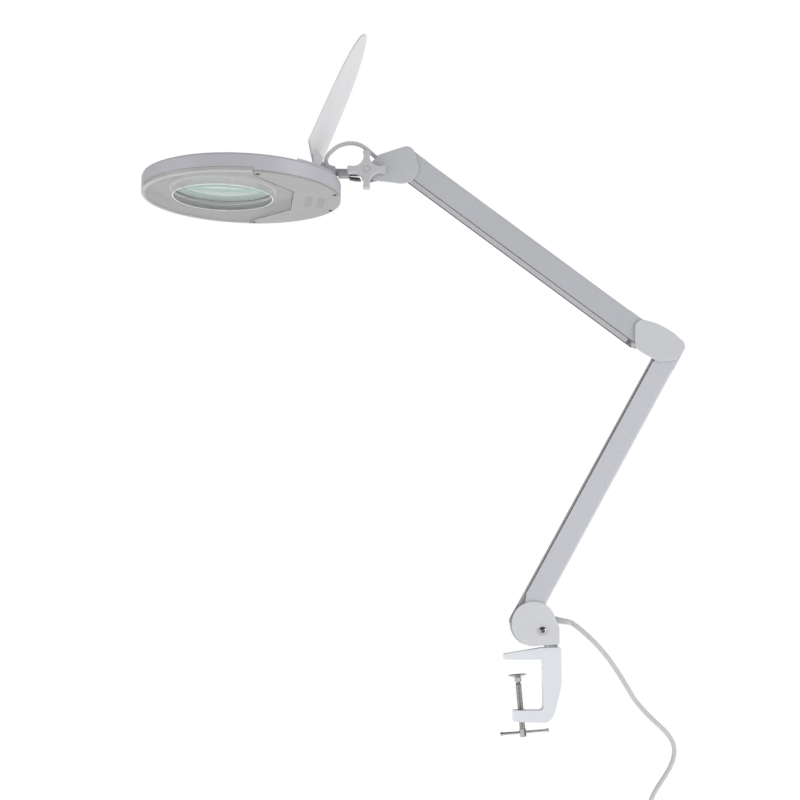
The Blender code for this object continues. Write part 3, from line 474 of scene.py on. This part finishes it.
def coil_points():
    """Eight turns that lie beside and on each other, wound clockwise as seen from the front."""
    pitch = 2 * CORD_RADIUS
    points = []
    for number, (along, out) in enumerate(COIL_TURNS):
        follower = COIL_TURNS[min(number + 1, len(COIL_TURNS) - 1)]
        for i in range(COIL_STEPS):
            turn = i / COIL_STEPS
            share = max(0.0, (turn - 0.5) / 0.5)
            share = share * share * (3 - 2 * share)
            y = (along + (follower[0] - along) * share) * pitch
            r = COIL_RADIUS + (out + (follower[1] - out) * share) * pitch
            a = -2 * math.pi * turn
            points.append((COIL_CENTRE[0] + r * math.cos(a), y, COIL_CENTRE[1] + r * math.sin(a)))
    return points


def mains_cord():
    """One cord: from inside its relief, down its free length, round the coil and into the plug."""
    plug = corners("power_plug")
    start = Vector((CORD_ROUTE[0][0], 0, CORD_ROUTE[0][1]))
    points = [start - RELIEF_AXIS * 6.0, start - RELIEF_AXIS * 3.0]
    points += [(x, 0, z) for x, z in CORD_ROUTE]
    points += coil_points()
    last = COIL_TURNS[-1]
    x = COIL_CENTRE[0] + COIL_RADIUS + last[1] * 2 * CORD_RADIUS
    y = last[0] * 2 * CORD_RADIUS
    points += [(x, y, COIL_CENTRE[1]), (x, y, COIL_CENTRE[1] - 11.0), (x, y, plug[1].z + 0.3)]
    made = wire("mains_cord", points, CORD_RADIUS)
    return placed(made, "base", ["power_cord", "cord_coil"], "cord_grey")


def build_cords():
    relief = lathe("cord_relief_sleeve", RELIEF_SHAPE, RELIEF_ROOT, RELIEF_AXIS, 48)
    placed(relief, "base", ["cord_relief"], SLOT_OF["cord_relief"])
    plug = refined("power_plug", 1.0)
    tie = refined("cord_tie", 0.5)
    cord = mains_cord()


# (x, z) of the short lead that loops over the tilt joint, from the head's gland to the bracket
LOOP_ROUTE = [(-230.2, 586.4), (-228.6, 592.2), (-223.2, 598.6), (-216.2, 604.3), (-208.2, 607.6),
              (-200.2, 608.6), (-192.2, 607.5), (-184.6, 603.9), (-177.6, 598.0), (-170.8, 591.8),
              (-164.6, 586.8)]
LOOP_MIDDLE = 5
CABLE_RADIUS = 2.5


def loop_cable():
    """The head's lead, in two lengths cut at its middle."""
    points = [(x, 0, z) for x, z in LOOP_ROUTE]
    joined = wire("loop", points, CABLE_RADIUS, 6)
    whole = as_mesh(joined)
    middle = points[LOOP_MIDDLE][0] * MM
    for name, side, bodies, ends, node in (
            ("loop_lead_head", -1, ("head", "stem"), (0, LOOP_MIDDLE), "loop_cable_head"),
            ("loop_lead_bracket", 1, ("stem", "bracket"), (LOOP_MIDDLE, -1), "loop_cable_bracket")):
        mesh = whole.data.copy()
        mesh.name = name
        shape = bmesh.new()
        shape.from_mesh(mesh)
        bmesh.ops.bisect_plane(shape, geom=shape.verts[:] + shape.edges[:] + shape.faces[:],
                               plane_co=(middle, 0, 0), plane_no=(side, 0, 0), clear_inner=True)
        shape.to_mesh(mesh)
        shape.free()
        half = smoothed(linked(name, mesh), 60)
        placed(half, None, [node], "cord_grey")
        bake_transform(half)
    bpy.data.objects.remove(whole, do_unlink=True)


# ---------------------------------------------------------------- clamp
THREAD_RADIUS, THREAD_ROOT, THREAD_PITCH = 3.5, 3.0, 1.5
THREAD_START, THREAD_END = 7.6, 56.6
# (radius, distance from the screw's top) of its plain ends: the ball and neck, and the head
SCREW_NECK = [(0.6, 0.75), (2.4, 0.9), (3.0, 2.4), (3.0, 4.0), (2.2, 5.6), (3.0, 7.0)]
SCREW_HEAD = [(3.1, 57.0), (3.8, 57.6), (3.8, 65.8), (3.0, 66.6), (0.6, 66.6)]


def threaded_screw():
    """The clamp screw with its rolled thread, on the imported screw's own axis."""
    axis = -Vector(JOINT["screw_turn"]["axis"]).normalized()
    top = pivot("screw_turn")
    to_axis = Vector((0, 0, 1)).rotation_difference(axis).to_matrix()
    sides, rows_per_turn = 48, 8
    length = THREAD_END - THREAD_START
    rows = int(length / THREAD_PITCH * rows_per_turn)
    levels = SCREW_NECK + [(None, THREAD_START + length * i / rows) for i in range(rows + 1)] + SCREW_HEAD
    count = len(levels)
    points = []
    for radius, height in levels:
        for i in range(sides):
            a = 2 * math.pi * i / sides
            here = radius
            if radius is None:
                phase = (height / THREAD_PITCH - i / sides) % 1.0
                crest = min(1.0, max(0.0, 1.6 - abs(phase - 0.5) * 4.4))
                here = THREAD_ROOT + (THREAD_RADIUS - THREAD_ROOT) * crest
            points.append(to_axis @ Vector((here * math.cos(a), here * math.sin(a), height)) + top)
    faces = [[k * sides + i, k * sides + (i + 1) % sides, (k + 1) * sides + (i + 1) % sides,
              (k + 1) * sides + i] for k in range(count - 1) for i in range(sides)]
    faces += [list(range(sides)), list(range((count - 1) * sides, count * sides))]
    made = solid("clamp_screw_threaded", points, faces)
    placed(made, "screw", ["clamp_screw"], "dark_chrome")


def build_clamp():
    refined("clamp_frame", 1.5, 4)
    refined("thread_insert", 0.3)
    refined("swivel_washer", 0.3)
    refined("pressure_pad", 0.25)
    refined("tommy_bar", 0.25)
    threaded_screw()


# ---------------------------------------------------------------- arms
SHEET = 1.2
CROWN = 7.0
FOLD = 2.4
LOWER_DEPTH, LOWER_TAPER = 25.7, 30.0
UPPER_DEPTH, UPPER_TAPER = 28.1, -2.0
WEB_SETBACK = 24.0
EDGE_ROW = 0.5       # a row of faces this far up the cheek, so that its edge stays crisp
# (inwards from the cheek's outer face, up from its lower edge) round one dark strip along a cheek's lower
# edge, a painted shade
SHADE_STRIP_SECTION = [(-0.05, 0.5), (SHEET + 0.2, 0.5), (SHEET + 0.2, -0.35), (-0.05, -0.35)]


def shade_strips(node, pin, along, side, half, lower_edge, stations):
    """Dark strips that cap the channel's two lower edges: painted shade for the shadowed line along the
    cheeks' lower edges.
    """
    points, faces = [], []
    for mirror in (-1, 1):
        start = len(points)
        for reach in stations:
            for inward, rise in SHADE_STRIP_SECTION:
                across = side * (lower_edge(reach) + rise)
                points.append(pin + along * reach + across + Vector((0, mirror * (half - inward), 0)))
        for row in range(start, len(points) - 4, 4):
            for i in range(4):
                j = (i + 1) % 4
                faces.append((row + i, row + j, row + 4 + j, row + 4 + i))
        faces += [tuple(range(start, start + 4)), tuple(range(len(points) - 4, len(points)))]
    placed(solid(node + "_edging", points, faces), BODY_OF[node], [], None, "shade_strips")


def arm_shell(node, near, far, depth, taper, look=None):
    """A channel folded from sheet: two cheeks, round ends and a web with bent corners.

    Depth is from the web to the cheeks' lower edges, and taper is how far from the pins they reach it.
    """
    pin, end = pivot(near), pivot(far)
    along = end - pin
    length = along.length
    along.normalize()
    side = Vector((along.z, 0, -along.x))
    half = corners(node)[1].y
    low = CROWN - depth
    arc_end = Vector((CROWN * math.cos(math.radians(-120)), CROWN * math.sin(math.radians(-120))))

    def lower_edge(reach):
        s = min(reach, length - reach)
        if s < arc_end.x:
            return -math.sqrt(max(0.0, CROWN ** 2 - s * s))
        if s < taper:
            return arc_end.y + (low - arc_end.y) * (s - arc_end.x) / (taper - arc_end.x)
        return low

    def upper_edge(reach):
        s = min(reach, length - reach)
        return CROWN if s >= 0 else math.sqrt(max(0.0, CROWN ** 2 - s * s))

    ends = [-CROWN + 0.02, -6.6, -6.0, -5.0, -3.5, -2.0, 0.0, taper / 3, taper / 2, taper, WEB_SETBACK]
    ends = sorted(set(ends))
    middle = [WEB_SETBACK + (length - 2 * WEB_SETBACK) * i / 24 for i in range(25)]
    stations = sorted(set(ends + middle + [length - s for s in ends]))
    fold_steps, panel_steps, web_steps = 6, 5, 6
    points, lookup = [], {}

    def corner(reach, y, across):
        key = (round(reach, 4), round(y, 4), round(across, 4))
        if key not in lookup:
            lookup[key] = len(points)
            points.append(pin + along * reach + side * across + Vector((0, y, 0)))
        return lookup[key]

    def cheek(reach, y, top):
        bottom = lower_edge(reach)
        rows = [bottom + (top - bottom) * i / panel_steps for i in range(panel_steps + 1)]
        return [(y, across) for across in [bottom, bottom + EDGE_ROW] + rows[1:]]

    faces = []
    for a, b in zip(stations, stations[1:]):
        webbed = a >= WEB_SETBACK - 0.001 and b <= length - WEB_SETBACK + 0.001
        for mirror in (-1, 1):
            rows = []
            for reach in (a, b):
                top = min(upper_edge(reach), CROWN - FOLD)
                row = cheek(reach, mirror * half, top)
                if webbed:
                    for i in range(1, fold_steps + 1):
                        t = math.pi / 2 * i / fold_steps
                        y = mirror * (half - FOLD + FOLD * math.cos(t))
                        row.append((y, CROWN - FOLD + FOLD * math.sin(t)))
                    flat = mirror * (half - FOLD)
                    row += [(flat * (1 - i / web_steps), CROWN) for i in range(1, web_steps + 1)]
                elif upper_edge(reach) > top or upper_edge(a) > CROWN - FOLD or upper_edge(b) > CROWN - FOLD:
                    row.append((mirror * half, upper_edge(reach)))
                rows.append([corner(reach, y, c) for y, c in row])
            for i in range(min(len(rows[0]), len(rows[1])) - 1):
                loop = [rows[0][i], rows[1][i], rows[1][i + 1], rows[0][i + 1]]
                loop = list(dict.fromkeys(loop if mirror > 0 else loop[::-1]))
                if len(loop) > 2:
                    faces.append(loop)
    made = solid(node + "_folded", points, faces)
    bpy.context.view_layer.update()
    cheek_face = made.data.polygons[0]
    if cheek_face.normal.y * (cheek_face.center.y - pin.y * MM) < 0:
        made.data.flip_normals()
    thick = made.modifiers.new("sheet", "SOLIDIFY")
    thick.thickness = SHEET * MM
    thick.offset = -1.0
    rounded(made, 0.25, 2, 50)
    shade_strip_stations = [s for s in stations if taper <= s <= length - taper]
    # dark strips along the lower edges: painted shade
    shade_strips(node, pin, along, side, half, lower_edge, shade_strip_stations)
    return placed(made, BODY_OF[node], [node], "arm_grey", look)


WIRE_RADIUS, SPRING_RADIUS, SPRING_PITCH, SPRING_HOOK = 0.65, 3.5, 1.75, 8.0
COIL_KNOTS = 10      # knots in each turn of a spring


def coil_spring(node, body):
    """A close-wound tension spring with a hook at each end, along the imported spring's own axis."""
    low, high = corners(node)
    mesh = frame["nodes"][node].data
    middle = (low + high) / 2
    lift = "lower_arm_lift" if body == "lower_arm" else "upper_arm_lift"
    far = "elbow_level" if body == "lower_arm" else "bracket_level"
    along = (pivot(far) - pivot(lift)).normalized()
    reach = max(abs((v.co / MM - middle).dot(along)) for v in mesh.vertices)
    across = Vector((along.z, 0, -along.x))
    turns = int(2 * (reach - SPRING_HOOK) / SPRING_PITCH)
    points = [middle - along * reach, middle - along * (reach - SPRING_HOOK * 0.5)]
    for i in range(turns * COIL_KNOTS + 1):
        a = 2 * math.pi * i / COIL_KNOTS
        out = across * (SPRING_RADIUS * math.cos(a)) + Vector((0, SPRING_RADIUS * math.sin(a), 0))
        points.append(middle + along * (-reach + SPRING_HOOK + SPRING_PITCH * i / COIL_KNOTS) + out)
    points += [middle + along * (reach - SPRING_HOOK * 0.5), middle + along * reach]
    made = wire(node + "_coils", points, WIRE_RADIUS, 2)
    made.data.resolution_u = 2
    placed(made, body, [node], "bright_steel")


def build_arms():
    # the lower arm gets the lighter copy of the arm paint, as painted light
    arm_shell("lower_arm_shell", "lower_arm_lift", "elbow_level", LOWER_DEPTH, LOWER_TAPER, "lower_arm")
    arm_shell("upper_arm_shell", "upper_arm_lift", "bracket_level", UPPER_DEPTH, UPPER_TAPER)
    for node in ("lower_arm_link", "upper_arm_link"):
        refined(node, 0.45, 2)
    for node in ("lower_spring_front", "lower_spring_back"):
        coil_spring(node, "lower_arm")
    coil_spring("upper_spring", "upper_arm")
    for node in ("lower_spring_anchor", "upper_spring_anchor"):
        refined(node, 0.3)


# ---------------------------------------------------------------- brackets
def build_brackets():
    for node in ("spigot", "base_main_pin", "base_link_pin", "elbow_lower_main_pin",
                 "elbow_lower_link_pin", "elbow_upper_main_pin", "elbow_upper_link_pin",
                 "head_main_pin", "head_link_pin", "friction_disc"):
        refined(node, 0.3, 2)
    for node in ("base_core", "elbow_core", "head_core"):
        refined(node, 0.6)
    for place in ("base", "elbow", "head"):
        # the same cover plastic in lit and shaded copies: painted lighter at the base and darker at the head
        look = {"base": "base_cover", "elbow": "cover_grey", "head": "bracket_cover"}[place]
        for side in ("front", "back"):
            refined(f"{place}_cover_{side}", 0.9, 4, look)
    refined("base_cover_screw", 0.3, look="dark_chrome")
    refined("tilt_bolt", 0.4)
    refined("star_knob", 1.1, 4)


# ---------------------------------------------------------------- head
def reflector():
    """The pan behind the light ring and the wall round it, which show through the clear cover."""
    centre = on_seam((LENS_OFFSET, 0), 14.0)
    ring = [(64.2, 0), (92.5, 0), (92.5, 0.9), (64.2, 0.9)]
    placed(lathe("reflector_pan", ring, centre, UPWARDS), "head", [], "board_white", "pan_grey")
    wall = [(114.6, 2.6), (115.2, 2.6), (115.2, 19.0), (88.0, 19.0), (88.0, 18.2), (114.6, 18.2)]
    made = lathe("reflector_wall", wall, in_head(HEAD_X, 0, 0), UPWARDS)
    placed(made, "head", [], "board_white", "pan_grey")


def lens_collar():
    """The clear wall round the opening, the seat that carries the lens, and the openings' bright rims, which
    are white rings as painted highlights.
    """
    low, high = corners("lens_collar")
    radius = (high.y - low.y) / 2
    inner, lip = radius - 1.5, 7.6
    section = [(inner, 0.3), (inner + 0.3, 0), (radius - 0.3, 0), (radius, 0.3), (radius, lip - 1.2)]
    section += [(radius + 0.3, lip - 0.6), (radius, lip), (inner, lip), (inner - 0.4, lip - 0.5)]
    section += [(inner, lip - 1.0)]
    centre = on_seam((LENS_OFFSET, 0), 0)
    placed(lathe("lens_collar_wall", section, centre, UPWARDS), "head", ["lens_collar"],
           "clear_plastic", "collar_clear")
    seat = [(radius - 0.6, lip + 0.2), (radius + 3.6, lip + 1.6), (radius + 3.6, 12.2)]
    seat += [(radius + 2.6, 12.2), (radius + 2.2, lip + 2.4), (radius - 0.6, lip + 1.0)]
    placed(lathe("lens_seat", seat, centre, UPWARDS), "head", [], "board_white")
    # white rings at the top and the bottom of the opening: painted highlights of the rims
    liner = [(59.4, 16.0), (59.8, 16.0), (59.8, 21.6), (59.4, 21.6)]
    placed(lathe("opening_liner", liner, centre, UPWARDS), "head", [], "board_white", "rim_highlight_white")
    bead = [(radius - 1.7, 0.1), (radius - 1.1, -0.1), (radius - 0.5, 0.1), (radius - 1.1, 0.3)]
    placed(lathe("opening_highlight_bead", bead, centre, UPWARDS), "head", [], "board_white", "rim_highlight_white")


def stem_shade_pad():
    """A black pad that fills the notch under the stem, beside the tilt joint: painted shade where that notch
    lies in shadow.
    """
    tilt = pivot("head_tilt")
    outline = [(-21.0, -2.4), (-9.0, -3.4), (-7.0, -6.2), (-13.0, -6.0), (-21.0, -4.6)]
    points = [Vector((tilt.x + x, y, tilt.z + z)) for y in (-4.6, 4.6) for x, z in outline]
    count = len(outline)
    faces = [tuple(range(count)), tuple(range(count, 2 * count))]
    faces += [(i, (i + 1) % count, count + (i + 1) % count, count + i) for i in range(count)]
    made = rounded(solid("stem_shade_pad", points, faces), 0.4, 2)
    placed(made, "stem", [], "black_plastic")


def seam_line():
    """The dark seal in the gap between the plate and the clear cover."""
    points = [on_seam(p, 0.3) for p in SEAM]
    run = []
    for a, b in zip(points, points[1:]):
        run += [a + (b - a) * (i / 6) for i in range(6)]
    curve = bpy.data.curves.new("cover_seal", "CURVE")
    curve.dimensions = "3D"
    curve.bevel_depth = 0.55 * MM
    curve.bevel_resolution = 2
    line = curve.splines.new("POLY")
    line.points.add(len(run))
    for knot, at in zip(line.points, run + [points[-1]]):
        knot.co = (*(at * MM), 1.0)
    made = bpy.data.objects.new("cover_seal", curve)
    bpy.context.scene.collection.objects.link(made)
    placed(as_mesh(made), "head", [], "black_plastic")


def labels():
    """Two blank rating stickers on the underside."""
    for name, x, y in (("sticker_left", 79.5, 1.0), ("sticker_right", 94.6, 5.0)):
        points = []
        for height in (-0.12, 0.02):
            for a, b in ((-4.2, -23.0), (4.2, -23.0), (4.2, 23.0), (-4.2, 23.0)):
                points.append(on_seam((x + a, y + b), height))
        faces = [(0, 1, 2, 3), (4, 5, 6, 7), (0, 1, 5, 4), (1, 2, 6, 5), (2, 3, 7, 6), (3, 0, 4, 7)]
        placed(solid(name, points, faces), "head", [], None, "sticker")


def build_head():
    refined("stem_bar", 0.5)
    stem_shade_pad()
    refined("stem_sleeve", 0.9, look="sleeve_grey")
    refined("head_shell", 0.7, 3)
    refined("bottom_plate", 0.5)
    refined("clear_cover", 0.4)
    lens_collar()
    refined("magnifier_lens", 0.3)
    refined("led_board", 0.2, look="board_grey")
    for number in range(1, 5):
        refined(f"plate_screw_{number}", 0.2)
    refined("lid_hinge_pin", 0.3)
    refined("cable_gland", 0.4)
    refined("rocker_switch", 0.7)
    refined("lens_lid", 0.6)
    reflector()
    seam_line()
    labels()


# ---------------------------------------------------------------- studio
TENT = 0.62
# the colours that the lens sees behind it, under and over about 19 degrees above the horizon
LOW_BACKDROP = (0.21, 0.36, 0.305)
HIGH_BACKDROP = (0.44, 0.49, 0.48)


def world():
    """A white tent, brighter at its sides. Gloss sees its dark seams, and the lens its backdrop."""
    made = bpy.data.worlds.new("tent")
    bpy.context.scene.world = made
    made.use_nodes = True
    tree = made.node_tree
    tree.nodes.clear()
    place = tree.nodes.new("ShaderNodeTexCoord")
    parts = tree.nodes.new("ShaderNodeSeparateXYZ")
    tree.links.new(place.outputs["Generated"], parts.inputs["Vector"])
    path = tree.nodes.new("ShaderNodeLightPath")

    def maths(operation, *values):
        node = tree.nodes.new("ShaderNodeMath")
        node.operation = operation
        for socket, value in zip(node.inputs, values):
            if isinstance(value, bpy.types.NodeSocket):
                tree.links.new(value, socket)
            else:
                socket.default_value = value
        return node.outputs["Value"]

    def lamp(strength, colour=(1.0, 1.0, 1.0)):
        node = tree.nodes.new("ShaderNodeBackground")
        node.inputs["Color"].default_value = (*colour, 1.0)
        if isinstance(strength, bpy.types.NodeSocket):
            tree.links.new(strength, node.inputs["Strength"])
        else:
            node.inputs["Strength"].default_value = strength
        return node.outputs["Background"]

    def either(factor, first, second):
        node = tree.nodes.new("ShaderNodeMixShader")
        tree.links.new(factor, node.inputs["Fac"])
        tree.links.new(first, node.inputs[1])
        tree.links.new(second, node.inputs[2])
        return node.outputs["Shader"]

    sideways = maths("ABSOLUTE", parts.outputs["X"])
    soft = maths("MULTIPLY_ADD", maths("POWER", sideways, 2.0), TENT * 1.05, TENT * 0.68)
    front = maths("LESS_THAN", parts.outputs["Y"], 0.1)
    slit = maths("MULTIPLY", maths("COMPARE", parts.outputs["X"], 0.1, 0.13), front)
    sides = maths("GREATER_THAN", sideways, 0.55)
    above = maths("GREATER_THAN", parts.outputs["Z"], 0.3)
    dark = maths("MAXIMUM", maths("MAXIMUM", slit, sides), above)
    gloss = maths("MULTIPLY_ADD", dark, -TENT * 1.1, TENT * 1.2)
    seen = either(path.outputs["Is Glossy Ray"], lamp(soft), lamp(gloss))
    height = maths("MULTIPLY_ADD", parts.outputs["Z"], 30.0, -9.3)
    high = maths("MAXIMUM", maths("SMOOTH_MIN", 1.0, height, 0.2), 0.0)
    backdrop = either(high, lamp(1.0, LOW_BACKDROP), lamp(1.0, HIGH_BACKDROP))
    seen = either(path.outputs["Is Transmission Ray"], seen, backdrop)
    seen = either(path.outputs["Is Camera Ray"], seen, lamp(1.0))
    out = tree.nodes.new("ShaderNodeOutputWorld")
    tree.links.new(seen, out.inputs["Surface"])


def softbox(name, at, aim, size, watts):
    data = bpy.data.lights.new(name, "AREA")
    data.shape = "RECTANGLE"
    data.size, data.size_y = size
    data.energy = watts
    made = bpy.data.objects.new(name, data)
    made.location = at
    made.rotation_euler = (Vector(aim) - Vector(at)).to_track_quat("-Z", "Y").to_euler()
    bpy.context.scene.collection.objects.link(made)


def floor():
    made, tree, shader = shader_of("floor")
    tone = mixed(tree, spread(tree, noise(tree, 3.0), 0, 1), (0.96, 0.96, 0.96), (0.98, 0.98, 0.98))
    tree.links.new(tone, shader.inputs["Base Color"])
    tree.links.new(tone, shader.inputs["Emission Color"])
    shader.inputs["Emission Strength"].default_value = 0.5
    shader.inputs["Roughness"].default_value = 0.9
    low = CAD_BOX[0][2] - 0.012
    far = 12.0
    edge = [(-far, -far, low), (far, -far, low), (far, far, low), (-far, far, low)]
    mesh = bpy.data.meshes.new("floor")
    mesh.from_pydata(edge, [], [(0, 1, 2, 3)])
    mesh.materials.append(made)
    linked("floor", mesh)


def build_studio():
    world()
    floor()
    softbox("key", (2.4, -1.3, 1.0), (-0.05, 0, 0.4), (1.6, 1.6), 23)
    softbox("fill", (-2.5, -0.9, 0.5), (-0.1, 0, 0.4), (1.8, 1.8), 11)
    bpy.context.scene.view_settings.view_transform = "Standard"


# ---------------------------------------------------------------- the lamp
camera()
build_cords()
loop_cable()
build_clamp()
build_arms()
build_brackets()
build_head()
build_studio()
